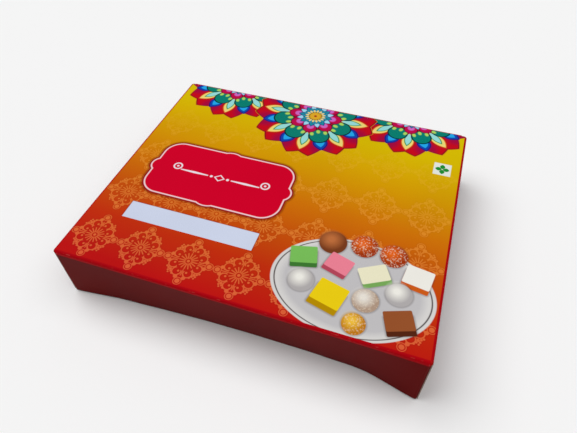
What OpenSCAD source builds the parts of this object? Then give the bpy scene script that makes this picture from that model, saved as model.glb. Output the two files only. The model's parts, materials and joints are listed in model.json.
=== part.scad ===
// Sweet box of folded board: a tray with four pasted corners, and a lid hinged along the tray's
// back wall, whose front and side skirts close over the tray.
// Millimetres. X runs left to right, Y from front to back, Z up. The origin is at the middle of the
// closed box's footprint, on the table.

/* [Overall size] */
// Width of the closed box, left to right
box_w = 240; // [160:1:320]
// Depth of the closed box, front to back
box_d = 200; // [140:1:280]
// Height of the closed box
box_h = 45; // [30:1:80]

/* [Board] */
// Thickness of the board
board_t = 0.5; // [0.4:0.05:1]
// Outside radius of a folded edge
fold_r = 1.8; // [1.4:0.1:3]

/* [Lid over tray] */
// Clearance between the pasted lid corners and the tray's sides
side_clearance = 0.8; // [0.4:0.1:2]
// Clearance between the lid's front skirt and the tray's front wall
front_clearance = 7.5; // [1:0.5:12]
// Clearance between the tray's upper edges and the underside of the lid
top_clearance = 0.3; // [0.3:0.1:2]
// Height of the skirts' lower edges above the table
skirt_lift = 1; // [0.5:0.25:5]

/* [Corner webs] */
// Length of a pasted web, from the folded corner to its free end
web_l = 34; // [20:1:45]
// How much a web narrows towards its free end, above and below
web_taper = 6; // [2:0.5:8]
// Gap between a web and the folds above and below it
web_relief = 0.4; // [0.2:0.1:1]
// How far a side panel's raw edge lies behind the folded corner's outer face
raw_edge_inset = 0.9; // [0.7:0.1:1.4]
// How far a front or back fold stops short of its panel's ends
fold_relief = 0.8; // [0:0.1:2]

/* [Hinge crease] */
// Clearance between the rolled crease and the lid's back edge
hinge_clearance = 0.3; // [0.2:0.05:0.6]

/* [Hidden] */
$fn = 64;

plain_board = "gainsboro";
maroon_print = "maroon";
festive_print = "orangered";

// Outer faces of the closed box
side_x = box_w / 2;
front_y = -box_d / 2;
back_y = box_d / 2;

// Outer faces of the tray: a side of the lid is two boards thick where its web is pasted on
tray_side_x = side_x - 2 * board_t - side_clearance;
tray_front_y = front_y + board_t + front_clearance;
tray_wall_top = box_h - board_t - top_clearance;

// The lid turns about the middle of the board along the back top edge
hinge_r = board_t / 2;
hinge_y = back_y - hinge_r;
hinge_z = box_h - hinge_r;
hinge_reach = hinge_r + hinge_clearance;
lid_back_y = hinge_y - hinge_reach;

// A panel that carries webs is one board narrower at each end, so that its webs lie inside the sides
tray_web_x = tray_side_x - board_t;
lid_web_x = side_x - board_t;

// A board's cross-section at a fold: the parent panel ends at x = fold_r on the line y = 0, the
// fold turns it upwards, and the folded panel's outer face lies on x = 0.
module fold_section() {
    translate([fold_r, fold_r])
        intersection() {
            difference() {
                circle(r = fold_r);
                circle(r = fold_r - board_t);
            }
            translate([-fold_r, -fold_r])
                square(fold_r);
        }
}

// A panel turned up from its parent: the fold runs fold_l along Z, the flat panel panel_l, and the
// panel's free edge is top above the parent's outer face. Both lengths are centred on Z.
module turned_panel(fold_l, panel_l, top) {
    linear_extrude(fold_l, center = true)
        fold_section();
    linear_extrude(panel_l, center = true)
        translate([0, fold_r])
            square([board_t, top - fold_r]);
}

// The same panel, as the front wall of an upright tray: its outer face on y = 0, along X
module front_panel(panel_l, top) {
    rotate([90, 0, 90])
        turned_panel(panel_l - 2 * fold_relief, panel_l, top);
}

// The same panel, as the left wall of an upright tray: its outer face on x = 0, along Y
module left_panel(fold_l, panel_l, top) {
    rotate([90, 0, 0])
        turned_panel(fold_l, panel_l, top);
}

// A web at the right end of a front wall: it turns the corner and lies along +Y, with its outer
// face on x = 0 and the wall's outer face on y = 0. It reaches from z = bottom to z = top.
module corner_web(bottom, top) {
    translate([-fold_r, 0, bottom])
        mirror([1, 0, 0])
            translate([-fold_r, 0, 0])
                linear_extrude(top - bottom)
                    fold_section();
    translate([-board_t, 0, 0])
        rotate([90, 0, 90])
            linear_extrude(board_t)
                polygon([
                    [fold_r, bottom + web_relief],
                    [web_l, bottom + web_relief + web_taper],
                    [web_l, top - web_relief - web_taper],
                    [fold_r, top - web_relief]
                ]);
}

// Tray

// Lengths of the tray's panels, and of the folds that join them to the base
tray_front_l = 2 * (tray_web_x - fold_r);
tray_side_fold_l = back_y - tray_front_y - 2 * fold_r;
tray_side_l = back_y - tray_front_y - 2 * raw_edge_inset;
tray_middle_y = (tray_front_y + back_y) / 2;

module tray_base() {
    color(plain_board)
        translate([fold_r - tray_side_x, tray_front_y + fold_r, 0])
            cube([2 * (tray_side_x - fold_r), tray_side_fold_l, board_t]);
}

module tray_front_wall() {
    color(plain_board)
        translate([0, tray_front_y, 0])
            front_panel(tray_front_l, tray_wall_top);
}

module tray_back_wall() {
    color(maroon_print)
        translate([0, back_y, 0])
            mirror([0, 1, 0])
                front_panel(tray_front_l, hinge_z - hinge_reach);
}

module tray_left_wall() {
    color(plain_board)
        translate([-tray_side_x, tray_middle_y, 0])
            left_panel(tray_side_fold_l, tray_side_l, tray_wall_top);
}

module tray_right_wall() {
    mirror([1, 0, 0])
        tray_left_wall();
}

module tray_front_right_web() {
    color(plain_board)
        translate([tray_web_x, tray_front_y, 0])
            corner_web(fold_r, tray_wall_top);
}

module tray_front_left_web() {
    mirror([1, 0, 0])
        tray_front_right_web();
}

module tray_back_right_web() {
    color(plain_board)
        translate([tray_web_x, back_y, 0])
            mirror([0, 1, 0])
                corner_web(fold_r, tray_wall_top);
}

module tray_back_left_web() {
    mirror([1, 0, 0])
        tray_back_right_web();
}

// The crease stands on the back wall's upper edge, and its round top is centred on the hinge axis
module hinge_crease() {
    color(maroon_print)
        translate([0, hinge_y, hinge_z])
            rotate([90, 0, 90])
                linear_extrude(tray_front_l, center = true) {
                    circle(r = hinge_r);
                    translate([-hinge_r, -hinge_reach])
                        square([board_t, hinge_reach]);
                }
}

// Lid

lid_front_l = 2 * (lid_web_x - fold_r);
lid_side_fold_l = lid_back_y - front_y - fold_r;
lid_side_l = lid_back_y - front_y - raw_edge_inset;
skirt_h = box_h - skirt_lift;

module lid_top() {
    color(festive_print)
        translate([fold_r - side_x, front_y + fold_r, box_h - board_t])
            cube([2 * (side_x - fold_r), lid_side_fold_l, board_t]);
}

module lid_front_skirt() {
    color(maroon_print)
        translate([0, front_y, box_h])
            mirror([0, 0, 1])
                front_panel(lid_front_l, skirt_h);
}

// The side skirt's fold and its flat panel both end at the lid's back edge, so the panel is the
// longer one at the front only
module lid_left_skirt() {
    color(maroon_print)
        translate([-side_x, 0, box_h])
            mirror([0, 0, 1]) {
                translate([0, lid_back_y - lid_side_fold_l / 2, 0])
                    rotate([90, 0, 0])
                        linear_extrude(lid_side_fold_l, center = true)
                            fold_section();
                translate([0, lid_back_y - lid_side_l, fold_r])
                    cube([board_t, lid_side_l, skirt_h - fold_r]);
            }
}

module lid_right_skirt() {
    mirror([1, 0, 0])
        lid_left_skirt();
}

module lid_right_web() {
    color(maroon_print)
        translate([lid_web_x, front_y, 0])
            corner_web(skirt_lift, box_h - fold_r);
}

module lid_left_web() {
    mirror([1, 0, 0])
        lid_right_web();
}

tray_base();
tray_front_wall();
tray_back_wall();
tray_left_wall();
tray_right_wall();
tray_front_left_web();
tray_front_right_web();
tray_back_left_web();
tray_back_right_web();
hinge_crease();
lid_top();
lid_front_skirt();
lid_left_skirt();
lid_right_skirt();
lid_left_web();
lid_right_web();
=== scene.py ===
"""A folded sweet box of printed board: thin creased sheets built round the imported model, a print
drawn with shader nodes, soft studio light and the photograph's camera. Metres, in the CAD frame."""

import json
import math

import bpy
from mathutils import Matrix, Vector

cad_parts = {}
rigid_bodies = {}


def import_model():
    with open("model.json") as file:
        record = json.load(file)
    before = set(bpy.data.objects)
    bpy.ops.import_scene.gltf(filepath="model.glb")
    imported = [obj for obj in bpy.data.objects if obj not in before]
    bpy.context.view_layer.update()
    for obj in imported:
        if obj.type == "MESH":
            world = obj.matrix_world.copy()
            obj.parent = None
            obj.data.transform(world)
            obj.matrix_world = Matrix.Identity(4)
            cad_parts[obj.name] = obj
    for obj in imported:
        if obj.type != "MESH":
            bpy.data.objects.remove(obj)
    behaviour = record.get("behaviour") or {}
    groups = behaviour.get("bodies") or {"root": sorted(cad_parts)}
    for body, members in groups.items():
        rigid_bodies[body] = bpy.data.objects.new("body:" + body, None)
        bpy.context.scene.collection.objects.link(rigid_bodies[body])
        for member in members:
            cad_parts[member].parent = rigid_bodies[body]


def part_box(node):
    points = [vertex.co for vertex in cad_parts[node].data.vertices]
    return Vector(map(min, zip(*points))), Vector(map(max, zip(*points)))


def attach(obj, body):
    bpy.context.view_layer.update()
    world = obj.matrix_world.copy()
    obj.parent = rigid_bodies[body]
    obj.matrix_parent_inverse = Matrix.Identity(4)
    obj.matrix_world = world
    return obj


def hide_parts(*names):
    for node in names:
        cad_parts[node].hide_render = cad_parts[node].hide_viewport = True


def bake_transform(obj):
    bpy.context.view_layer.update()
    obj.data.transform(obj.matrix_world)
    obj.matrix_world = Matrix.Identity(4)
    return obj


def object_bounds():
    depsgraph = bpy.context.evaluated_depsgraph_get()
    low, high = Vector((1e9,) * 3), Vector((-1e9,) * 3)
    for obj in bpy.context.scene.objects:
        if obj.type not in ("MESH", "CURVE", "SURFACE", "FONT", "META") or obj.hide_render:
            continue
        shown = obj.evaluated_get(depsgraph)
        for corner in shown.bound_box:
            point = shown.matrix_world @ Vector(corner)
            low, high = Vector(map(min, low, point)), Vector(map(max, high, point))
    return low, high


for leftover in list(bpy.data.objects):
    bpy.data.objects.remove(leftover)

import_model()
cad_low, cad_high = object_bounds()

MM = 0.001
BOARD = 0.5 * MM
FOLD_R = 1.8 * MM
FOLD_STEPS = 6
WEB_TAPER = 6 * MM
HANDS = ((-1, "left"), (1, "right"))


# Modelling

def only(piece):
    """Makes a piece the one selected and active object."""
    bpy.ops.object.select_all(action="DESELECT")
    piece.select_set(True)
    bpy.context.view_layer.objects.active = piece


def pick_vertices(piece, test):
    """In edit mode, selects the vertices whose place passes a test."""
    bpy.ops.object.mode_set(mode="OBJECT")
    for part in (piece.data.vertices, piece.data.edges, piece.data.polygons):
        for item in part:
            item.select = False
    for vertex in piece.data.vertices:
        vertex.select = test(vertex.co)
    bpy.ops.object.mode_set(mode="EDIT")
    bpy.ops.mesh.select_mode(type="VERT")


def place(piece, turn):
    """Puts a turned place into the mesh, so that the object stays at the origin."""
    piece.matrix_world = turn
    only(piece)
    bpy.ops.object.transform_apply(location=True, rotation=True, scale=True)


def flat_sheet(name, width, height, columns, rows):
    """An upright sheet on y = 0, centred on x, from z = 0 up, that faces -Y."""
    bpy.ops.object.select_all(action="DESELECT")
    bpy.ops.mesh.primitive_grid_add(
        x_subdivisions=columns, y_subdivisions=rows, size=1, rotation=(math.pi / 2, 0, 0)
    )
    sheet = bpy.context.object
    sheet.name = sheet.data.name = name
    sheet.scale = (width, height, 1)
    sheet.location = (0, 0, height / 2)
    bpy.ops.object.transform_apply(location=True, rotation=True, scale=True)
    return sheet


def fold_edge(sheet, height, fold_length, panel_length):
    """Spins a sheet's top edge back over a crease, towards +Y, and draws the fold's ends in."""
    flat_top = height - FOLD_R
    pick_vertices(sheet, lambda co: co.z > flat_top - 1e-6)
    bpy.ops.mesh.spin(
        steps=FOLD_STEPS, angle=math.pi / 2, center=(0, FOLD_R, flat_top), axis=(1, 0, 0)
    )
    pick_vertices(sheet, lambda co: co.z > flat_top + 1e-6)
    bpy.ops.transform.resize(value=(fold_length / panel_length, 1, 1), center_override=(0, 0, 0))
    face_out(sheet)


def face_out(sheet):
    """Turns an open sheet's faces to its print side, -Y."""
    bpy.ops.object.mode_set(mode="EDIT")
    bpy.ops.mesh.select_all(action="SELECT")
    bpy.ops.mesh.normals_make_consistent(inside=False)
    bpy.ops.object.mode_set(mode="OBJECT")
    front = sum(face.normal.y * face.area for face in sheet.data.polygons)
    if front > 0:
        sheet.data.flip_normals()


def thicken(sheet, materials):
    """Gives a sheet its board thickness, inwards: print outside, board inside, raw edge round."""
    for material in materials:
        sheet.data.materials.append(material)
    only(sheet)
    board = sheet.modifiers.new("board", "SOLIDIFY")
    board.thickness = BOARD
    board.offset = -1
    board.use_even_offset = True
    board.material_offset = 1
    board.material_offset_rim = 2
    bpy.ops.object.modifier_apply(modifier=board.name)
    bpy.ops.object.shade_smooth_by_angle(angle=math.radians(35))


def fit_board(piece, node, skin, body):
    """Gives a sheet its board thickness and ties it to its node, slot and body."""
    thicken(piece, skin)
    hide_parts(node)
    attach(piece, body)


def standing(heading, x, y, flipped=False, z=0.0):
    """A place for a panel: its print side turned from -Y by heading, upside down if flipped."""
    over = Matrix.Rotation(math.pi if flipped else 0.0, 4, "Y")
    turned = Matrix.Rotation(math.radians(heading), 4, "Z")
    return Matrix.Translation((x, y, z)) @ turned @ over


def folded_panel(name, panel_length, fold_length, height, where):
    """A wall or skirt with the fold along its top edge."""
    sheet = flat_sheet(name, panel_length, height - FOLD_R, 48, 12)
    fold_edge(sheet, height, fold_length, panel_length)
    place(sheet, where)
    return sheet


def corner_web(name, low, high, node, side, back):
    """A pasted web: its flat tapers to a free end, and its near end is spun round the corner."""
    box_low, box_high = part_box(node)
    length = box_high.y - box_low.y - FOLD_R
    height = high - low
    web = flat_sheet(name, length, height, 12, 6)
    pick_vertices(web, lambda co: co.x > length / 2 - 1e-6)
    bpy.ops.transform.resize(
        value=(1, 1, (height - 2 * WEB_TAPER) / height), center_override=(0, 0, height / 2)
    )
    taper_middle(web, length, height)
    pick_vertices(web, lambda co: co.x < 1e-6 - length / 2)
    bpy.ops.mesh.spin(
        steps=FOLD_STEPS, angle=math.pi / 2, center=(-length / 2, FOLD_R, 0), axis=(0, 0, 1)
    )
    face_out(web)
    turn_to_side(web, box_low, box_high, low, length, side, back)
    return web


def taper_middle(web, length, height):
    """Draws the columns between a web's two ends in to its slanting edges."""
    bpy.ops.object.mode_set(mode="OBJECT")
    for vertex in web.data.vertices:
        share = (vertex.co.x + length / 2) / length
        if 1e-6 < share < 1 - 1e-6:
            squeeze = 1 - 2 * WEB_TAPER / height * share
            vertex.co.z = height / 2 + (vertex.co.z - height / 2) * squeeze


def turn_to_side(web, box_low, box_high, low, length, side, back):
    """Puts a web against its side panel: mirrored for the other hand, faces kept outwards."""
    x = box_high.x if side > 0 else box_low.x
    near = box_high.y - FOLD_R if back else box_low.y + FOLD_R
    run = -1 if back else 1
    only(web)
    web.matrix_world = (
        Matrix.Translation((x, near + run * length / 2, low))
        @ Matrix.Scale(side, 4, (1, 0, 0))
        @ Matrix.Scale(run, 4, (0, 1, 0))
        @ Matrix.Rotation(math.pi / 2, 4, "Z")
    )
    bpy.ops.object.transform_apply(location=True, rotation=True, scale=True)
    outward = sum(face.normal.x * face.area for face in web.data.polygons) * side
    if outward < 0:
        web.data.flip_normals()


# Colours and node arithmetic

def ink(red, green, blue):
    """A colour given in screen values from 0 to 255, as Blender's linear colour."""
    def linear(value):
        share = value / 255
        return share / 12.92 if share <= 0.04045 else ((share + 0.055) / 1.055) ** 2.4
    return (linear(red), linear(green), linear(blue), 1.0)


def feed(tree, value, entry):
    """Links a field to a socket, or sets the socket to a plain number."""
    if isinstance(value, Field):
        tree.links.new(value.socket, entry)
    else:
        entry.default_value = value


class Field:
    """A number that changes over a surface, built up from Math nodes."""

    def __init__(self, tree, socket):
        self.tree = tree
        self.socket = socket

    def calc(self, operation, *others, clamp=False):
        """A Math node on this field and up to two more values."""
        return calc(self.tree, operation, self, *others, clamp=clamp)

    def __add__(self, other):
        return self.calc("ADD", other)

    def __sub__(self, other):
        return self.calc("SUBTRACT", other)

    def __rsub__(self, other):
        return calc(self.tree, "SUBTRACT", other, self)

    def __mul__(self, other):
        return self.calc("MULTIPLY", other)

    def __rmul__(self, other):
        return self * other

    def __neg__(self):
        return self * -1.0

    def __abs__(self):
        return self.calc("ABSOLUTE")

    def least(self, other):
        """The smaller of two fields: for distances, the two shapes joined."""
        return self.calc("MINIMUM", other)

    def most(self, other):
        """The larger of two fields: for distances, where the two shapes overlap."""
        return self.calc("MAXIMUM", other)

    def inside(self, soft=0.3):
        """A mask from a distance: 1 inside, 0 outside, with a soft printed edge."""
        return self.calc("MULTIPLY_ADD", -1.0 / soft, 0.5, clamp=True)


def calc(tree, operation, *values, clamp=False):
    """A Math node on up to three fields or numbers."""
    node = tree.nodes.new("ShaderNodeMath")
    node.operation = operation
    node.use_clamp = clamp
    for value, entry in zip(values, node.inputs):
        feed(tree, value, entry)
    return Field(tree, node.outputs[0])


def span(across, along):
    """The length of a vector given by two fields."""
    return (across * across + along * along).calc("SQRT")


def paint(tree, under, mask, over):
    """Lays a colour over another through a mask. Colours are sockets or linear colours."""
    node = tree.nodes.new("ShaderNodeMix")
    node.data_type = "RGBA"
    feed(tree, mask, node.inputs[0])
    for colour, entry in ((under, node.inputs[6]), (over, node.inputs[7])):
        if isinstance(colour, tuple):
            entry.default_value = colour
        else:
            tree.links.new(colour, entry)
    return node.outputs[2]


def place_on_sheet(tree):
    """Object coordinates in millimetres, as three fields."""
    where = tree.nodes.new("ShaderNodeTexCoord")
    larger = tree.nodes.new("ShaderNodeVectorMath")
    larger.operation = "SCALE"
    larger.inputs["Scale"].default_value = 1 / MM
    apart = tree.nodes.new("ShaderNodeSeparateXYZ")
    tree.links.new(where.outputs["Object"], larger.inputs[0])
    tree.links.new(larger.outputs[0], apart.inputs[0])
    return [Field(tree, socket) for socket in apart.outputs]


def noise(tree, scale, detail=3.0, roughness=0.5, stretch=(1, 1, 1)):
    """A noise field from 0 to 1 on Object coordinates; scale is in features per metre."""
    where = tree.nodes.new("ShaderNodeTexCoord")
    mapping = tree.nodes.new("ShaderNodeMapping")
    mapping.inputs["Scale"].default_value = stretch
    texture = tree.nodes.new("ShaderNodeTexNoise")
    texture.inputs["Scale"].default_value = scale
    texture.inputs["Detail"].default_value = detail
    texture.inputs["Roughness"].default_value = roughness
    tree.links.new(where.outputs["Object"], mapping.inputs["Vector"])
    tree.links.new(mapping.outputs["Vector"], texture.inputs["Vector"])
    return Field(tree, texture.outputs[0])


def ramp(tree, field, stops):
    """A colour ramp with stops of place and colour."""
    node = tree.nodes.new("ShaderNodeValToRGB")
    feed(tree, field, node.inputs[0])
    bar = node.color_ramp
    bar.elements[0].position, bar.elements[0].color = stops[0]
    bar.elements[1].position, bar.elements[1].color = stops[-1]
    for position, colour in stops[1:-1]:
        bar.elements.new(position).color = colour
    return node.outputs[0]


# The print of the lid's top, in millimetres from the middle of the box

LATTICE_X = 33.9
LATTICE_Y = 42.0
LATTICE_CENTRE = (-101.4, -80.0)
LATTICE_LEAVES = (((5.9, 11.2), 0.75), ((7.1, 10.0), 0.75), ((8.0, 8.6), 0.95), ((9.2, 9.6), 0.7),
                  ((9.6, 7.9), 0.75), ((10.9, 7.0), 0.7), ((8.6, 11.0), 0.6), ((2.7, 12.6), 1.35),
                  ((11.7, 2.6), 1.35), ((1.6, 10.7), 0.55), ((9.9, 1.5), 0.55))


def sunset_ground(tree, x, y):
    """The ground of the print: red at the front, through orange to yellow at the back."""
    rise = (x.calc("MULTIPLY_ADD", 0.065, y) + 100.0) * 0.005
    return ramp(tree, rise, (
        (0.0, ink(189, 17, 17)),
        (0.16, ink(193, 46, 13)),
        (0.31, ink(196, 80, 11)),
        (0.46, ink(206, 114, 9)),
        (0.61, ink(209, 146, 5)),
        (0.72, ink(212, 164, 4)),
        (0.85, ink(213, 183, 3)),
        (1.0, ink(214, 190, 3)),
    ))


def disc(across, along, centre, radius):
    """The distance to a disc."""
    return span(across - centre[0], along - centre[1]) - radius


def ring(across, along, centre, radius, line):
    """The distance to a ring drawn with a line of that width."""
    return abs(disc(across, along, centre, radius)) - line / 2


def lattice_motif(tree, x, y):
    """The distance to the scrollwork of the nearest lattice motif, four-fold about its centre."""
    across = (x - LATTICE_CENTRE[0]).calc("PINGPONG", LATTICE_X / 2)
    along = (y - LATTICE_CENTRE[1]).calc("PINGPONG", LATTICE_Y / 2)
    reach = span(across, along)
    turn = along.calc("ARCTAN2", across).calc("PINGPONG", math.pi / 16)
    shape = (reach * turn - 0.36).most(reach - 6.2).most(1.9 - reach)
    shape = shape.least(reach - 1.0)
    stem = (along.least(across) - 0.3).most(reach - 11.4).most(6.6 - reach)
    shape = shape.least(stem)
    for centre, radius, gap in (((3.7, 8.9), 2.9, (0.4, 1.0)), ((8.0, 4.1), 3.0, (1.0, 0.4))):
        curl = ring(across, along, centre, radius, 0.75)
        opening = (centre[0] - across) * gap[0] + (centre[1] - along) * gap[1] - radius * 0.75
        shape = shape.least(curl.most(opening))
        tip = (centre[0] - gap[1] * 1.0, centre[1] - gap[0] * 1.0)
        shape = shape.least(disc(across, along, tip, 0.75))
    for centre, size in LATTICE_LEAVES:
        shape = shape.least(disc(across, along, centre, size))
    for centre in ((0.0, 15.4), (14.2, 0.0)):
        shape = shape.least(disc(across, along, centre, 1.6))
        shape = shape.least(ring(across, along, centre, 2.5, 0.5))
    return shape


def make_ground_group():
    """The ground with its lattice, as a group: every material of the lid's top starts from it."""
    group = bpy.data.node_groups.new("sunset_lattice", "ShaderNodeTree")
    group.interface.new_socket("Colour", in_out="OUTPUT", socket_type="NodeSocketColor")
    end = group.nodes.new("NodeGroupOutput")
    x, y, _ = place_on_sheet(group)
    shape = lattice_motif(group, x, y)
    colour = sunset_ground(group, x, y)
    fade = (y + 90.0).calc("MULTIPLY_ADD", -0.0042, 0.72, clamp=True)
    shade = (abs(shape - 0.35) - 0.3).inside(0.4) * fade * 0.22
    colour = paint(group, colour, shade, ink(120, 20, 10))
    light = ramp(group, (y + 100.0) * 0.005, (
        (0.0, ink(226, 104, 62)),
        (0.45, ink(240, 160, 60)),
        (1.0, ink(240, 205, 50)),
    ))
    colour = paint(group, colour, shape.inside(0.35) * fade, light)
    group.links.new(colour, end.inputs["Colour"])
    return group


def petal(out, half, start, tip, width):
    """The distance to a pointed petal that lies along out, with half its side folded away."""
    share = (out - start) * (1 / (tip - start))
    return half - share * (1.0 - share) * (4.0 * width)


EIGHTH = math.pi / 8

# Petals in layers: where each starts and ends along its spoke, its swell and its colour
BLUE_PETALS = ((25.0, 44.0, 6.0, ink(40, 25, 120)),
               (26.0, 42.4, 4.9, ink(15, 70, 175)),
               (27.0, 39.6, 3.6, ink(35, 165, 230)))
CREAM_PETALS = ((22.0, 45.4, 6.2, ink(170, 25, 25)),
                (22.0, 44.6, 5.3, ink(225, 90, 30)),
                (22.0, 43.4, 4.6, ink(235, 215, 120)),
                (22.0, 39.0, 3.2, ink(60, 150, 85)),
                (22.0, 37.4, 2.5, ink(150, 218, 215)))
PALE_PETALS = ((3.0, 15.6, 3.2, ink(25, 70, 130)),
               (3.0, 15.0, 2.6, ink(160, 215, 238)))
TEAL_PETALS = ((3.0, 14.4, 2.9, ink(30, 60, 130)),
               (3.0, 13.4, 2.2, ink(25, 140, 165)))
CREAM_POINTS = ((4.4, 8.6, 0.95, ink(238, 214, 140)),)
GOLD_POINTS = ((0.8, 6.0, 0.8, ink(224, 170, 40)),)


def petals(tree, under, spoke, layers, soft):
    """Layers of petals on a spoke, which is given as the places along and across it."""
    for start, tip, width, tone in layers:
        shape = petal(*spoke, start, tip, width)
        under = paint(tree, under, shape.inside(soft), tone)
    return under


def spoke_at(reach, turn):
    """Places along and across a spoke, from the distance and the turn away from it."""
    return reach * turn.calc("COSINE"), reach * turn.calc("SINE")


def rosette_edge(fold):
    """How far the rosette's outline reaches, at a turn from its nearest spoke."""
    return (fold * 25.2 + 46.0).least(fold * -36.1 + 56.5)


def crimson_petals(tree, under, reach, fold, spoke, side_spoke):
    """The outer crimson petals, with a gold line, purple flanks and a dark seam."""
    edge = rosette_edge(fold)
    colour = paint(tree, under, (reach - edge - 0.7).inside(0.5), ink(205, 120, 20))
    colour = paint(tree, colour, (reach - edge).inside(0.4), ink(120, 5, 25))
    colour = paint(tree, colour, (reach - edge + 0.9).inside(0.5), ink(196, 10, 30))
    within = (reach - edge).inside(0.4)
    flank = petal(*side_spoke, 30.0, 52.0, 8.6)
    colour = paint(tree, colour, flank.inside(5.0) * within * 0.5, ink(120, 10, 80))
    seam = (spoke[1] - 0.3).most(44.0 - reach).inside(0.4) * within
    return paint(tree, colour, seam, ink(110, 5, 25))


def green_roundels(tree, under, out, half):
    """Veined green roundels with pale buds."""
    bead = span(out - 26.0, half)
    colour = paint(tree, under, (bead - 8.6).inside(0.5), ink(5, 40, 50))
    colour = paint(tree, colour, (bead - 7.4).inside(0.8), ink(10, 135, 115))
    vein = (half * 1.6 + out * 0.5).calc("PINGPONG", 0.9)
    colour = paint(tree, colour, (vein - 0.35).most(bead - 6.8).inside(0.5) * 0.6, ink(0, 85, 95))
    bud = span((out - 20.6) * 0.7, half).least(span((out - 22.6) * 0.7, half - 5.4))
    return paint(tree, colour, (bud - 1.5).inside(0.7), ink(175, 215, 95))


def pink_roundels(tree, under, out, half):
    """Pink roundels at the petals' feet, paler towards the centre."""
    bead = span(out - 16.2, half)
    colour = paint(tree, under, (bead - 5.9).inside(0.5), ink(75, 5, 40))
    colour = paint(tree, colour, (bead - 5.2).inside(0.5), ink(190, 12, 75))
    core = span(out - 14.4, half)
    return paint(tree, colour, (core - 2.9).inside(1.0), ink(205, 105, 195))


def gold_heart(tree, under, reach, angle):
    """The rosette's middle: a blue disc with cream and gold points and a red dot."""
    colour = paint(tree, under, (reach - 10.2).inside(0.6), ink(40, 140, 165))
    spoke = spoke_at(reach, angle.calc("PINGPONG", EIGHTH / 2))
    rib = (spoke[1] - 0.35).most(reach - 10.2)
    colour = paint(tree, colour, rib.inside(0.4), ink(15, 80, 105))
    colour = petals(tree, colour, spoke, CREAM_POINTS, 0.3)
    colour = paint(tree, colour, (reach - 5.6).inside(0.4), ink(95, 85, 20))
    colour = petals(tree, colour, spoke, GOLD_POINTS, 0.3)
    return paint(tree, colour, (reach - 1.1).inside(0.4), ink(170, 30, 30))


def rosette(tree, under, out_x, out_y):
    """One eight-fold rosette drawn over a colour. Its places are millimetres from its centre."""
    reach = span(out_x, out_y)
    angle = out_x.calc("ARCTAN2", -out_y)
    fold = angle.calc("PINGPONG", EIGHTH)
    spoke = spoke_at(reach, fold)
    side_spoke = spoke_at(reach, EIGHTH - fold)
    colour = crimson_petals(tree, under, reach, fold, spoke, side_spoke)
    colour = petals(tree, colour, side_spoke, BLUE_PETALS, 0.6)
    colour = petals(tree, colour, spoke, CREAM_PETALS, 0.5)
    colour = green_roundels(tree, colour, *side_spoke)
    colour = pink_roundels(tree, colour, *spoke)
    colour = petals(tree, colour, side_spoke, PALE_PETALS, 0.4)
    colour = petals(tree, colour, spoke, TEAL_PETALS, 0.4)
    return gold_heart(tree, colour, reach, angle)


ROSETTE_CENTRE = (-1.0, 87.5)
SIDE_ROSETTES_MIDDLE = (1.1, 109.8)
SIDE_ROSETTES_APART = 75.4
SIDE_ROSETTE_SHRINK = 1.06


def rosettes_over(tree, ground):
    """The big rosette at the back edge, in front of a smaller one at each side."""
    x, y, _ = place_on_sheet(tree)
    mid_x = x - ROSETTE_CENTRE[0]
    mid_y = y - ROSETTE_CENTRE[1]
    side_x = (abs(x - SIDE_ROSETTES_MIDDLE[0]) - SIDE_ROSETTES_APART) * SIDE_ROSETTE_SHRINK
    side_y = (y - SIDE_ROSETTES_MIDDLE[1]) * SIDE_ROSETTE_SHRINK
    fold = mid_x.calc("ARCTAN2", -mid_y).calc("PINGPONG", EIGHTH)
    front = (span(mid_x, mid_y) - rosette_edge(fold) - 0.6).inside(0.02)
    chosen_x = front * mid_x + (1.0 - front) * side_x
    chosen_y = front * mid_y + (1.0 - front) * side_y
    return rosette(tree, ground, chosen_x, chosen_y)


PLAQUE_CENTRE = (-46.0, -5.5)
PLAQUE_HALF = (53.6, 29.0)
LABEL_CENTRE = (-46.5, -53.7)
LABEL_HALF = (46.9, 8.5)


def slab(across, along, half, corner):
    """The distance to a rectangle with rounded corners, centred on 0."""
    dx = (abs(across) - (half[0] - corner)).most(0.0)
    dy = (abs(along) - (half[1] - corner)).most(0.0)
    return span(dx, dy) - corner


def plaque_over(tree, ground):
    """The crimson plaque with its scalloped double border, and the blank label below it."""
    x, y, _ = place_on_sheet(tree)
    across = abs(x - PLAQUE_CENTRE[0])
    along = abs(y - PLAQUE_CENTRE[1])
    body = slab(across, along, PLAQUE_HALF, 15.0)
    end_bulge = span(across - (PLAQUE_HALF[0] - 6.2), along) - 9.2
    long_bulge = span(across, (along - (PLAQUE_HALF[1] - 10.2)) * 1.15) - 13.0
    shape = body.least(end_bulge).least(long_bulge)
    colour = paint(tree, ground, (shape - 0.8).inside(1.4) * 0.5, ink(90, 10, 10))
    colour = paint(tree, colour, (shape + 0.4).inside(0.4), ink(150, 8, 20))
    colour = paint(tree, colour, (shape + 1.5).inside(0.4), ink(240, 205, 210))
    colour = paint(tree, colour, (shape + 2.6).inside(0.4), ink(206, 2, 40))
    flourish = plaque_flourish(x - PLAQUE_CENTRE[0], y - PLAQUE_CENTRE[1])
    colour = paint(tree, colour, flourish.inside(0.4), ink(236, 226, 236))
    label = slab(x - LABEL_CENTRE[0], y - LABEL_CENTRE[1], LABEL_HALF, 0.5)
    colour = paint(tree, colour, (label - 0.5).inside(0.8) * 0.6, ink(110, 20, 15))
    return paint(tree, colour, label.inside(0.3), ink(205, 213, 234))


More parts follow.
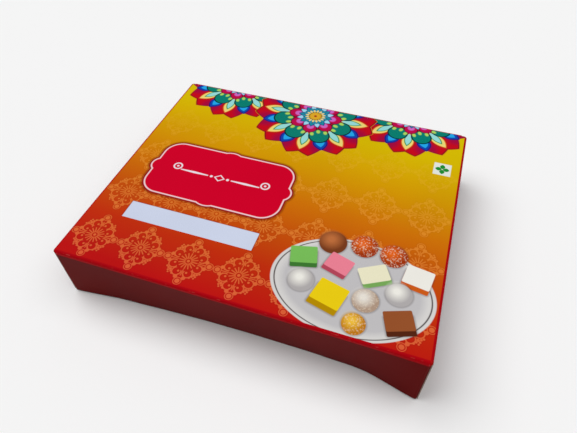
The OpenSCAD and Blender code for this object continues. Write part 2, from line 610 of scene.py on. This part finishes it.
def plaque_flourish(x, y):
    """The distance to a plain scroll ornament, the same at both hands, in the plaque's middle."""
    across = abs(x)
    diamond = across * 0.8 + abs(y) - 3.4
    shape = diamond.most(-diamond - 1.0)
    shape = shape.least(span(across - 6.4, y) - 1.1)
    bar = (abs(y) - (abs(across - 20.0) * -0.05 + 1.0)).most(abs(across - 20.0) - 11.0)
    shape = shape.least(bar)
    shape = shape.least(ring(across, y, (34.5, 2.6), 3.0, 1.1).most(31.0 - across))
    return shape.least(span(across - 34.5, y - 2.6) - 0.9)


PLATE_CENTRE = (67.0, -66.0)
PLATE_HALF = (50.0, 35.0)


def ball(tree, under, x, y, centre, radius, tone, shade, crumb=0.0):
    """A round sweet with soft shading and, if asked, a crumbly face."""
    reach = disc(x, y, centre, radius)
    colour = paint(tree, under, (reach - 0.6).inside(1.6) * 0.5, ink(60, 45, 40))
    colour = paint(tree, colour, reach.inside(0.4), shade)
    lit = disc(x, y, (centre[0] - radius * 0.2, centre[1] + radius * 0.25), radius * 0.6)
    colour = paint(tree, colour, lit.inside(radius * 0.8), tone)
    if crumb:
        grain = (noise(tree, 900.0) - 0.52) * 8.0
        speck = grain.calc("ADD", 0.0, clamp=True) * reach.inside(0.4) * crumb
        colour = paint(tree, colour, speck, ink(250, 240, 215))
    return colour


def block(tree, under, x, y, centre, half, lean, top, side):
    """A cut square of sweet seen from above its front edge: a lit top and a darker side below."""
    dx = x - centre[0]
    dy = y - centre[1]
    across = dx * math.cos(lean) + dy * math.sin(lean)
    along = dy * math.cos(lean) - dx * math.sin(lean)
    base = slab(across, along + half[1] * 0.5, half, 1.0)
    colour = paint(tree, under, (base - 0.6).inside(1.6) * 0.5, ink(60, 45, 40))
    colour = paint(tree, colour, base.inside(0.4), side)
    face = slab(across, along, half, 1.0)
    return paint(tree, colour, face.inside(0.4), top)


def sweets_over(tree, ground):
    """A pale plate with plain sweets of many colours, as a simple drawing of its own."""
    x, y, _ = place_on_sheet(tree)
    dish = span((x - PLATE_CENTRE[0]) * (1 / PLATE_HALF[0]), (y - PLATE_CENTRE[1]) * (1 / PLATE_HALF[1]))
    colour = paint(tree, ground, (dish - 1.0).inside(0.012), ink(214, 212, 210))
    rim = (abs(dish - 0.95) - 0.008).inside(0.012)
    colour = paint(tree, colour, rim, ink(70, 60, 60))
    colour = paint(tree, colour, (dish - 0.86).inside(0.1) * 0.5, ink(170, 168, 175))
    orange = ink(226, 98, 20)
    orange_deep = ink(160, 52, 10)
    white = ink(240, 238, 230)
    grey = ink(176, 172, 172)
    colour = ball(tree, colour, x, y, (48, -37), 9.0, ink(190, 110, 60), ink(120, 60, 30))
    colour = ball(tree, colour, x, y, (68, -34), 8.6, orange, orange_deep, 0.5)
    colour = ball(tree, colour, x, y, (87, -36), 8.6, orange, orange_deep, 0.5)
    colour = block(tree, colour, x, y, (104, -47), (8.5, 7), -0.15, white, ink(206, 92, 24))
    colour = block(tree, colour, x, y, (33, -52), (8.5, 6.5), 0.25, ink(120, 190, 90), ink(60, 120, 50))
    colour = block(tree, colour, x, y, (56, -52), (8, 6), -0.3, ink(236, 130, 150), ink(180, 70, 90))
    colour = block(tree, colour, x, y, (78, -53), (9, 6), 0.5, ink(236, 232, 200), ink(120, 170, 90))
    colour = ball(tree, colour, x, y, (95, -63), 8.0, white, grey)
    colour = ball(tree, colour, x, y, (37, -71), 8.0, white, grey)
    colour = block(tree, colour, x, y, (56, -75), (9.5, 8), -0.25, ink(236, 206, 20), ink(182, 140, 4))
    colour = ball(tree, colour, x, y, (77, -73), 8.0, ink(232, 226, 216), ink(176, 150, 130), 0.3)
    colour = block(tree, colour, x, y, (98, -80), (8.5, 6.5), 0.35, ink(150, 82, 44), ink(84, 38, 20))
    return ball(tree, colour, x, y, (74, -90), 7.0, ink(240, 190, 60), ink(190, 120, 20), 0.4)


TAG_CENTRE = (105.9, 54.9)


def tag_over(tree, ground):
    """A small white tag with a green four-petal motif."""
    x, y, _ = place_on_sheet(tree)
    across = x - TAG_CENTRE[0]
    along = y - TAG_CENTRE[1]
    tag = slab(across, along, (6.3, 6.5), 0.3)
    colour = paint(tree, ground, tag.inside(0.3), ink(226, 230, 222))
    near = abs(across).least(abs(along))
    far = abs(across).most(abs(along))
    leaf = petal(far, near, 0.3, 5.2, 1.9)
    return paint(tree, colour, leaf.most(far - 5.2).inside(0.3), ink(30, 140, 50))


# Finishes

def new_material(name):
    """A material with an empty tree but for its output and main shader."""
    material = bpy.data.materials.new(name)
    material.use_nodes = True
    tree = material.node_tree
    tree.nodes.clear()
    output = tree.nodes.new("ShaderNodeOutputMaterial")
    shader = tree.nodes.new("ShaderNodeBsdfPrincipled")
    tree.links.new(shader.outputs[0], output.inputs["Surface"])
    return material, tree, shader


def emboss(tree, shader, height, strength, distance):
    """Raises a face by a height field, through a Bump node."""
    bump = tree.nodes.new("ShaderNodeBump")
    bump.inputs["Strength"].default_value = strength
    bump.inputs["Distance"].default_value = distance
    tree.links.new(height.socket, bump.inputs["Height"])
    tree.links.new(bump.outputs["Normal"], shader.inputs["Normal"])


def make_wear_group():
    """Handling marks on varnished board: a worn and dulled mask along the box's outer edges."""
    group = bpy.data.node_groups.new("edge_wear", "ShaderNodeTree")
    group.interface.new_socket("Width", in_out="INPUT", socket_type="NodeSocketFloat")
    group.interface.new_socket("Rubbed", in_out="OUTPUT", socket_type="NodeSocketFloat")
    group.interface.new_socket("Dulled", in_out="OUTPUT", socket_type="NodeSocketFloat")
    start = group.nodes.new("NodeGroupInput")
    end = group.nodes.new("NodeGroupOutput")
    width = Field(group, start.outputs["Width"])
    x, y, z = place_on_sheet(group)
    to_side = cad_high[0] / MM - abs(x)
    to_end = cad_high[1] / MM - abs(y)
    to_top = cad_high[2] / MM - z
    corner = to_side.most(to_end).least(to_side.most(to_top)).least(to_end.most(to_top))
    patchy = noise(group, 160.0, 5.0, 0.65)
    fine = noise(group, 1400.0, 2.0)
    reach = width * ((patchy - 0.42) * 3.0)
    rubbed = (corner - reach).inside(0.5) * (fine * 0.9 + 0.1)
    dulled = (corner * -0.25 + 1.0).calc("ADD", 0.0, clamp=True) * patchy
    group.links.new(rubbed.socket, end.inputs["Rubbed"])
    group.links.new(dulled.socket, end.inputs["Dulled"])
    return group


def place_group(tree, group, **inputs):
    """Puts a node group in a material, with its own values."""
    node = tree.nodes.new("ShaderNodeGroup")
    node.node_tree = group
    for name, value in inputs.items():
        node.inputs[name].default_value = value
    return node


def varnish(tree, shader, colour, wear_width, gloss=0.26):
    """Finishes a printed face: wear along its edges, uneven gloss and the board's faint tooth."""
    wear = place_group(tree, wear_group, Width=wear_width)
    rubbed = Field(tree, wear.outputs["Rubbed"])
    dulled = Field(tree, wear.outputs["Dulled"])
    cloud = noise(tree, 18.0, 4.0)
    tone = paint(tree, colour, (cloud - 0.5) * 0.16 + dulled * 0.05 + 0.02, ink(60, 10, 10))
    tone = paint(tree, tone, rubbed * 0.5, ink(205, 170, 150))
    tree.links.new(tone, shader.inputs["Base Color"])
    rough = cloud * 0.12 + dulled * 0.18 + gloss
    tree.links.new(rough.socket, shader.inputs["Roughness"])
    shader.inputs["Specular IOR Level"].default_value = 0.01
    tooth = noise(tree, 2600.0, 2.0) * 0.15 + noise(tree, 9.0, 2.0) * 4.0 + rubbed * -0.4
    emboss(tree, shader, tooth, 0.25, 0.2 * MM)


# Where the crimson of the folds begins, in millimetres: at the front, at the sides, in height
CRIMSON_FRONT = -98.6
CRIMSON_SIDE = 119.2
CRIMSON_HEIGHT = 41.6


def top_material(name, draw):
    """A material for a region of the lid's top: the shared ground, with that region's drawing."""
    material, tree, shader = new_material(name)
    ground = place_group(tree, ground_group).outputs["Colour"]
    colour = draw(tree, ground) if draw else ground
    x, y, _ = place_on_sheet(tree)
    near_fold = (y - CRIMSON_FRONT).least(CRIMSON_SIDE - abs(x))
    colour = paint(tree, colour, near_fold.inside(1.2) * 0.55, ink(150, 0, 12))
    varnish(tree, shader, colour, 0.7)
    return material


def maroon_material():
    """The dark maroon print of the skirts, with the top's crimson carried over the fold."""
    material, tree, shader = new_material("maroon_print")
    _, _, z = place_on_sheet(tree)
    base = paint(tree, ink(110, 16, 14), noise(tree, 30.0, 4.0), ink(98, 10, 10))
    over_fold = (CRIMSON_HEIGHT - z + (noise(tree, 60.0) - 0.5) * 0.5).inside(1.0)
    colour = paint(tree, base, over_fold, ink(176, 6, 18))
    varnish(tree, shader, colour, 0.9)
    return material


def board_material():
    """The uncoated inner face of the board: warm grey pulp with short fibres and flecks."""
    material, tree, shader = new_material("grey_board")
    pulp = noise(tree, 240.0, 6.0, 0.7)
    fibre = noise(tree, 900.0, 3.0, 0.6, (1, 6, 6))
    colour = paint(tree, ink(186, 180, 168), pulp, ink(164, 157, 144))
    fleck = (fibre - 0.66).calc("MULTIPLY", 9.0, clamp=True)
    colour = paint(tree, colour, fleck * 0.5, ink(120, 110, 98))
    tree.links.new(colour, shader.inputs["Base Color"])
    shader.inputs["Roughness"].default_value = 0.85
    shader.inputs["Specular IOR Level"].default_value = 0.25
    emboss(tree, shader, pulp + fibre, 0.4, 0.1 * MM)
    return material


def coated_material():
    """The white coated outer face of the tray, unprinted."""
    material, tree, shader = new_material("white_coating")
    cloud = noise(tree, 25.0, 4.0)
    colour = paint(tree, ink(222, 219, 211), cloud, ink(210, 206, 197))
    tree.links.new(colour, shader.inputs["Base Color"])
    tree.links.new((cloud * 0.15 + 0.42).socket, shader.inputs["Roughness"])
    shader.inputs["Specular IOR Level"].default_value = 0.3
    emboss(tree, shader, noise(tree, 2200.0, 2.0), 0.2, 0.1 * MM)
    return material


def raw_edge_material():
    """The die-cut edge of the board: rough grey pulp with a stain of the print."""
    material, tree, shader = new_material("raw_edge")
    pulp = noise(tree, 1200.0, 4.0, 0.7)
    colour = paint(tree, ink(176, 160, 146), pulp, ink(132, 104, 92))
    tree.links.new(colour, shader.inputs["Base Color"])
    shader.inputs["Roughness"].default_value = 0.9
    emboss(tree, shader, pulp, 0.6, 0.2 * MM)
    return material


ground_group = make_ground_group()
wear_group = make_wear_group()
board_inside = board_material()
board_edge = raw_edge_material()
board_coated = coated_material()
maroon = maroon_material()
LID_SKIN = (maroon, board_inside, board_edge)
TRAY_SKIN = (board_coated, board_inside, board_edge)


# The lid

# How far the front skirt's free edge leans in, in millimetres, from its left end to its right
BOW_IN = (0.0, 3.0, 4.8, 6.2, 7.0, 7.2, 7.0, 5.2, -2.0)


def bowed_cage():
    """A lattice round the lid: its front skirt bows in between the corners, one corner flares."""
    cage_data = bpy.data.lattices.new("skirt_cage")
    cage_data.points_u = len(BOW_IN)
    cage_data.points_v = 3
    cage_data.points_w = 3
    cage = bpy.data.objects.new("skirt_cage", cage_data)
    bpy.context.scene.collection.objects.link(cage)
    low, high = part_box("lid_front_skirt")
    unit = cage_data.points[-1].co - cage_data.points[0].co
    cage.scale = ((cad_high[0] - cad_low[0]) / unit.x, (cad_high[1] - cad_low[1]) / unit.y,
                  (high.z - low.z) / unit.z)
    cage.location = (0, 0, (low.z + high.z) / 2)
    cage_data.interpolation_type_u = "KEY_CARDINAL"
    cage_data.interpolation_type_v = "KEY_LINEAR"
    cage_data.interpolation_type_w = "KEY_LINEAR"
    for index, point in enumerate(cage_data.points):
        column = index % len(BOW_IN)
        row = index // len(BOW_IN) % 3
        level = index // (len(BOW_IN) * 3)
        if row == 0 and level < 2:
            share = 1.0 if level == 0 else 0.5
            point.co_deform.y += BOW_IN[column] * MM * share / cage.scale.y
    return cage


def bend_with(cage, piece):
    """Bends a piece with the cage and keeps the result."""
    only(piece)
    bend = piece.modifiers.new("bend", "LATTICE")
    bend.object = cage
    bpy.ops.object.modifier_apply(modifier=bend.name)


# Where the top is cut into print regions and smaller faces, in millimetres
TOP_CUTS_Y = (-80, -60, -40, -15, 10, 32, 48, 62, 80)
TOP_CUTS_X = (-106, -75, -45, -15, 14, 40, 70, 99, 112.7)

# Each print region: its material slot, then its left, right, front and back
PRINT_REGIONS = ((3, -121, 121, 32, 101), (4, -107, 14.5, -62, 33), (5, 14, 121, -101, -14.5),
                 (6, 98.5, 113, 47.5, 62.5))


def lid_top_sheet():
    """The lid's flat top, split into the regions that its prints need."""
    low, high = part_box("lid_top")
    bpy.ops.object.select_all(action="DESELECT")
    bpy.ops.mesh.primitive_plane_add(size=1)
    top = bpy.context.object
    top.name = top.data.name = "lid_top_board"
    top.scale = (high.x - low.x, high.y - low.y, 1)
    top.location = ((low.x + high.x) / 2, (low.y + high.y) / 2, high.z)
    bpy.ops.object.transform_apply(location=True, rotation=True, scale=True)
    cuts = [((0, y * MM, 0), (0, 1, 0)) for y in TOP_CUTS_Y]
    cuts += [((x * MM, 0, 0), (1, 0, 0)) for x in TOP_CUTS_X]
    for point, normal in cuts:
        bpy.ops.object.mode_set(mode="EDIT")
        bpy.ops.mesh.select_all(action="SELECT")
        bpy.ops.mesh.bisect(plane_co=point, plane_no=normal)
    bpy.ops.object.mode_set(mode="OBJECT")
    for side in (-1, 1):
        corner_cap(top, side * high.x, low.y, high.z)
    return top


def corner_cap(top, x, y, z):
    """Rounds the board over a front corner, where the front and side folds meet."""
    pick_vertices(top, lambda co: (co - Vector((x, y, z))).length < 1e-5)
    heart = (x, y, z - FOLD_R)
    bpy.ops.mesh.spin(steps=FOLD_STEPS, angle=-math.pi / 2, center=heart, axis=(1, 0, 0))
    pick_vertices(top, lambda co: abs(co.x - x) < 1e-5 and co.y < y + 1e-5)
    turn = math.pi / 2 if x > 0 else -math.pi / 2
    bpy.ops.mesh.spin(steps=FOLD_STEPS, angle=-turn, center=heart, axis=(0, 0, 1))
    bpy.ops.mesh.select_all(action="SELECT")
    bpy.ops.mesh.remove_doubles(threshold=1e-6)
    bpy.ops.mesh.normals_make_consistent(inside=False)
    bpy.ops.object.mode_set(mode="OBJECT")


def print_regions(top):
    """Gives each printed face of the top the material of the region that it lies in."""
    for face in top.data.polygons:
        if face.material_index != 0:
            continue
        x, y = face.center.x / MM, face.center.y / MM
        for index, left, right, front, back in PRINT_REGIONS:
            if left < x < right and front < y < back:
                face.material_index = index


def build_lid():
    """The lid: its top, three skirts and two pasted webs."""
    cage = bowed_cage()
    top = lid_top_sheet()
    thicken(top, (top_material("top_ground", None), board_inside, board_edge,
                  top_material("top_rosettes", rosettes_over),
                  top_material("top_plaque", plaque_over),
                  top_material("top_sweets", sweets_over),
                  top_material("top_tag", tag_over)))
    print_regions(top)
    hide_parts("lid_top")
    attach(top, "lid")
    low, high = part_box("lid_front_skirt")
    height = high.z - low.z
    top_low, top_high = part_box("lid_top")
    front = folded_panel("lid_front_skirt_board", high.x - low.x, top_high.x - top_low.x,
                         height, standing(0, 0, low.y, z=low.z))
    finish_skirt(front, cage, "lid_front_skirt")
    for side, name in HANDS:
        node = f"lid_{name}_skirt"
        low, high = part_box(node)
        length = high.y - low.y
        fold = top_high.y - top_low.y
        x = high.x if side > 0 else low.x
        skirt = folded_panel(node + "_board", length, fold, height,
                             standing(90 * side, x, (low.y + high.y) / 2, z=low.z))
        finish_skirt(skirt, cage, node)
        node = f"lid_{name}_web"
        low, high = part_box(node)
        web = corner_web(node + "_board", low.z, high.z, node, side, False)
        finish_skirt(web, cage, node)
    bpy.data.objects.remove(cage)


def finish_skirt(piece, cage, node):
    """Bends a skirt or web with the cage and ties it to the lid."""
    bend_with(cage, piece)
    fit_board(piece, node, LID_SKIN, "lid")


# The tray

def build_tray():
    """The tray: its base, four walls and four pasted webs."""
    low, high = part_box("tray_base")
    bpy.ops.object.select_all(action="DESELECT")
    bpy.ops.mesh.primitive_grid_add(x_subdivisions=12, y_subdivisions=10, size=1,
                                    rotation=(math.pi, 0, 0))
    base = bpy.context.object
    base.name = base.data.name = "tray_base_board"
    base.scale = (high.x - low.x, high.y - low.y, 1)
    base.location = ((low.x + high.x) / 2, (low.y + high.y) / 2, low.z)
    bpy.ops.object.transform_apply(location=True, rotation=True, scale=True)
    fit_board(base, "tray_base", TRAY_SKIN, "tray")
    fold_x = high.x - low.x
    fold_y = high.y - low.y
    for node, heading in (("tray_front_wall", 0), ("tray_back_wall", 180)):
        low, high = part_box(node)
        y = low.y if heading == 0 else high.y
        wall = folded_panel(node + "_board", high.x - low.x, fold_x,
                            high.z - low.z, standing(heading, 0, y, True, high.z))
        if heading == 0:
            fit_board(wall, node, TRAY_SKIN, "tray")
        else:
            fit_board(wall, node, LID_SKIN, "tray")
    for side, name in HANDS:
        node = f"tray_{name}_wall"
        low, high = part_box(node)
        x = high.x if side > 0 else low.x
        wall = folded_panel(node + "_board", high.y - low.y, fold_y, high.z - low.z,
                            standing(90 * side, x, (low.y + high.y) / 2, True, high.z))
        fit_board(wall, node, TRAY_SKIN, "tray")
        for end in ("front", "back"):
            node = f"tray_{end}_{name}_web"
            low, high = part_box(node)
            web = corner_web(node + "_board", low.z, high.z, node, side, end == "back")
            fit_board(web, node, TRAY_SKIN, "tray")


CREASE_RISE = 0.7 * MM
CREASE_R = 0.35 * MM


def build_hinge():
    """The creased strip that joins the back wall to the lid's top and bends between them."""
    low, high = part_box("hinge_crease")
    top_low, top_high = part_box("lid_top")
    length = high.x - low.x
    strip = flat_sheet("hinge_crease_board", length, CREASE_RISE, 40, 2)
    for vertex in strip.data.vertices:
        vertex.co.z += low.z
    pick_vertices(strip, lambda co: co.z > low.z + CREASE_RISE - 1e-6)
    bpy.ops.mesh.spin(steps=FOLD_STEPS, angle=math.pi / 2, axis=(1, 0, 0),
                      center=(0, CREASE_R, low.z + CREASE_RISE))
    crest = low.z + CREASE_RISE + CREASE_R
    pick_vertices(strip, lambda co: co.z > crest - 1e-6)
    bpy.ops.mesh.extrude_region_move(
        TRANSFORM_OT_translate={"value": (0, high.y - top_high.y - CREASE_R, 0)}
    )
    face_out(strip)
    place(strip, Matrix.Translation((0, high.y, high.z - crest)) @ Matrix.Rotation(math.pi, 4, "Z"))
    thicken(strip, LID_SKIN)
    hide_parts("hinge_crease")
    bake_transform(strip)


build_lid()
build_tray()
build_hinge()


# The studio

BACKGROUND = ink(247, 247, 247)
AMBIENT = 0.3
FLOOR_RADIUS = 60.0
FLOOR_DROP = 0.3 * MM


def build_floor():
    """A wide pale floor that keeps the box's shadow."""
    bpy.ops.object.select_all(action="DESELECT")
    bpy.ops.mesh.primitive_circle_add(vertices=64, radius=FLOOR_RADIUS, fill_type="NGON",
                                      location=(0, 0, -FLOOR_DROP))
    floor = bpy.context.object
    floor.name = "studio_floor"
    material, tree, shader = new_material("studio_floor")
    shader.inputs["Base Color"].default_value = BACKGROUND
    shader.inputs["Roughness"].default_value = 1.0
    shader.inputs["Specular IOR Level"].default_value = 0.01
    floor.data.materials.append(material)


def build_world():
    """Even white surroundings, paler to the camera than as a light."""
    world = bpy.data.worlds.new("studio")
    bpy.context.scene.world = world
    world.use_nodes = True
    tree = world.node_tree
    tree.nodes.clear()
    output = tree.nodes.new("ShaderNodeOutputWorld")
    ambient = tree.nodes.new("ShaderNodeBackground")
    ambient.inputs["Strength"].default_value = AMBIENT
    shown = tree.nodes.new("ShaderNodeBackground")
    shown.inputs["Color"].default_value = BACKGROUND
    path = tree.nodes.new("ShaderNodeLightPath")
    pick = tree.nodes.new("ShaderNodeMixShader")
    tree.links.new(path.outputs["Is Camera Ray"], pick.inputs[0])
    tree.links.new(ambient.outputs[0], pick.inputs[1])
    tree.links.new(shown.outputs[0], pick.inputs[2])
    tree.links.new(pick.outputs[0], output.inputs["Surface"])


def add_sun(name, heading, height, strength, softness):
    """A soft lamp far away, from a heading seen from above (0 is the front) and a height."""
    lamp = bpy.data.lights.new(name, "SUN")
    lamp.energy = strength
    lamp.angle = math.radians(softness)
    sun = bpy.data.objects.new(name, lamp)
    bpy.context.scene.collection.objects.link(sun)
    sun.rotation_euler = (math.radians(90 - height), 0, math.radians(heading))


build_floor()
build_world()
add_sun("key_lamp", 262, 60, 1.75, 50)
add_sun("fill_lamp", 100, 65, 0.9, 50)


# The camera, at the photograph's place

IMAGE_WIDTH = 577
FOCAL_PIXELS = 483.5
SENSOR = 36.0
CAMERA_PLACE = (0.0843, -0.2301, 0.2875)
CAMERA_TILT = 41.826
CAMERA_ROLL = 0.27
CAMERA_HEADING = 18.728

lens = bpy.data.cameras.new("camera")
lens.sensor_width = SENSOR
lens.lens = FOCAL_PIXELS / IMAGE_WIDTH * SENSOR
lens.clip_start = 0.01
camera = bpy.data.objects.new("camera", lens)
bpy.context.scene.collection.objects.link(camera)
camera.location = CAMERA_PLACE
camera.rotation_euler = [math.radians(a) for a in (CAMERA_TILT, CAMERA_ROLL, CAMERA_HEADING)]
bpy.context.scene.camera = camera
bpy.context.scene.view_settings.view_transform = "Standard"
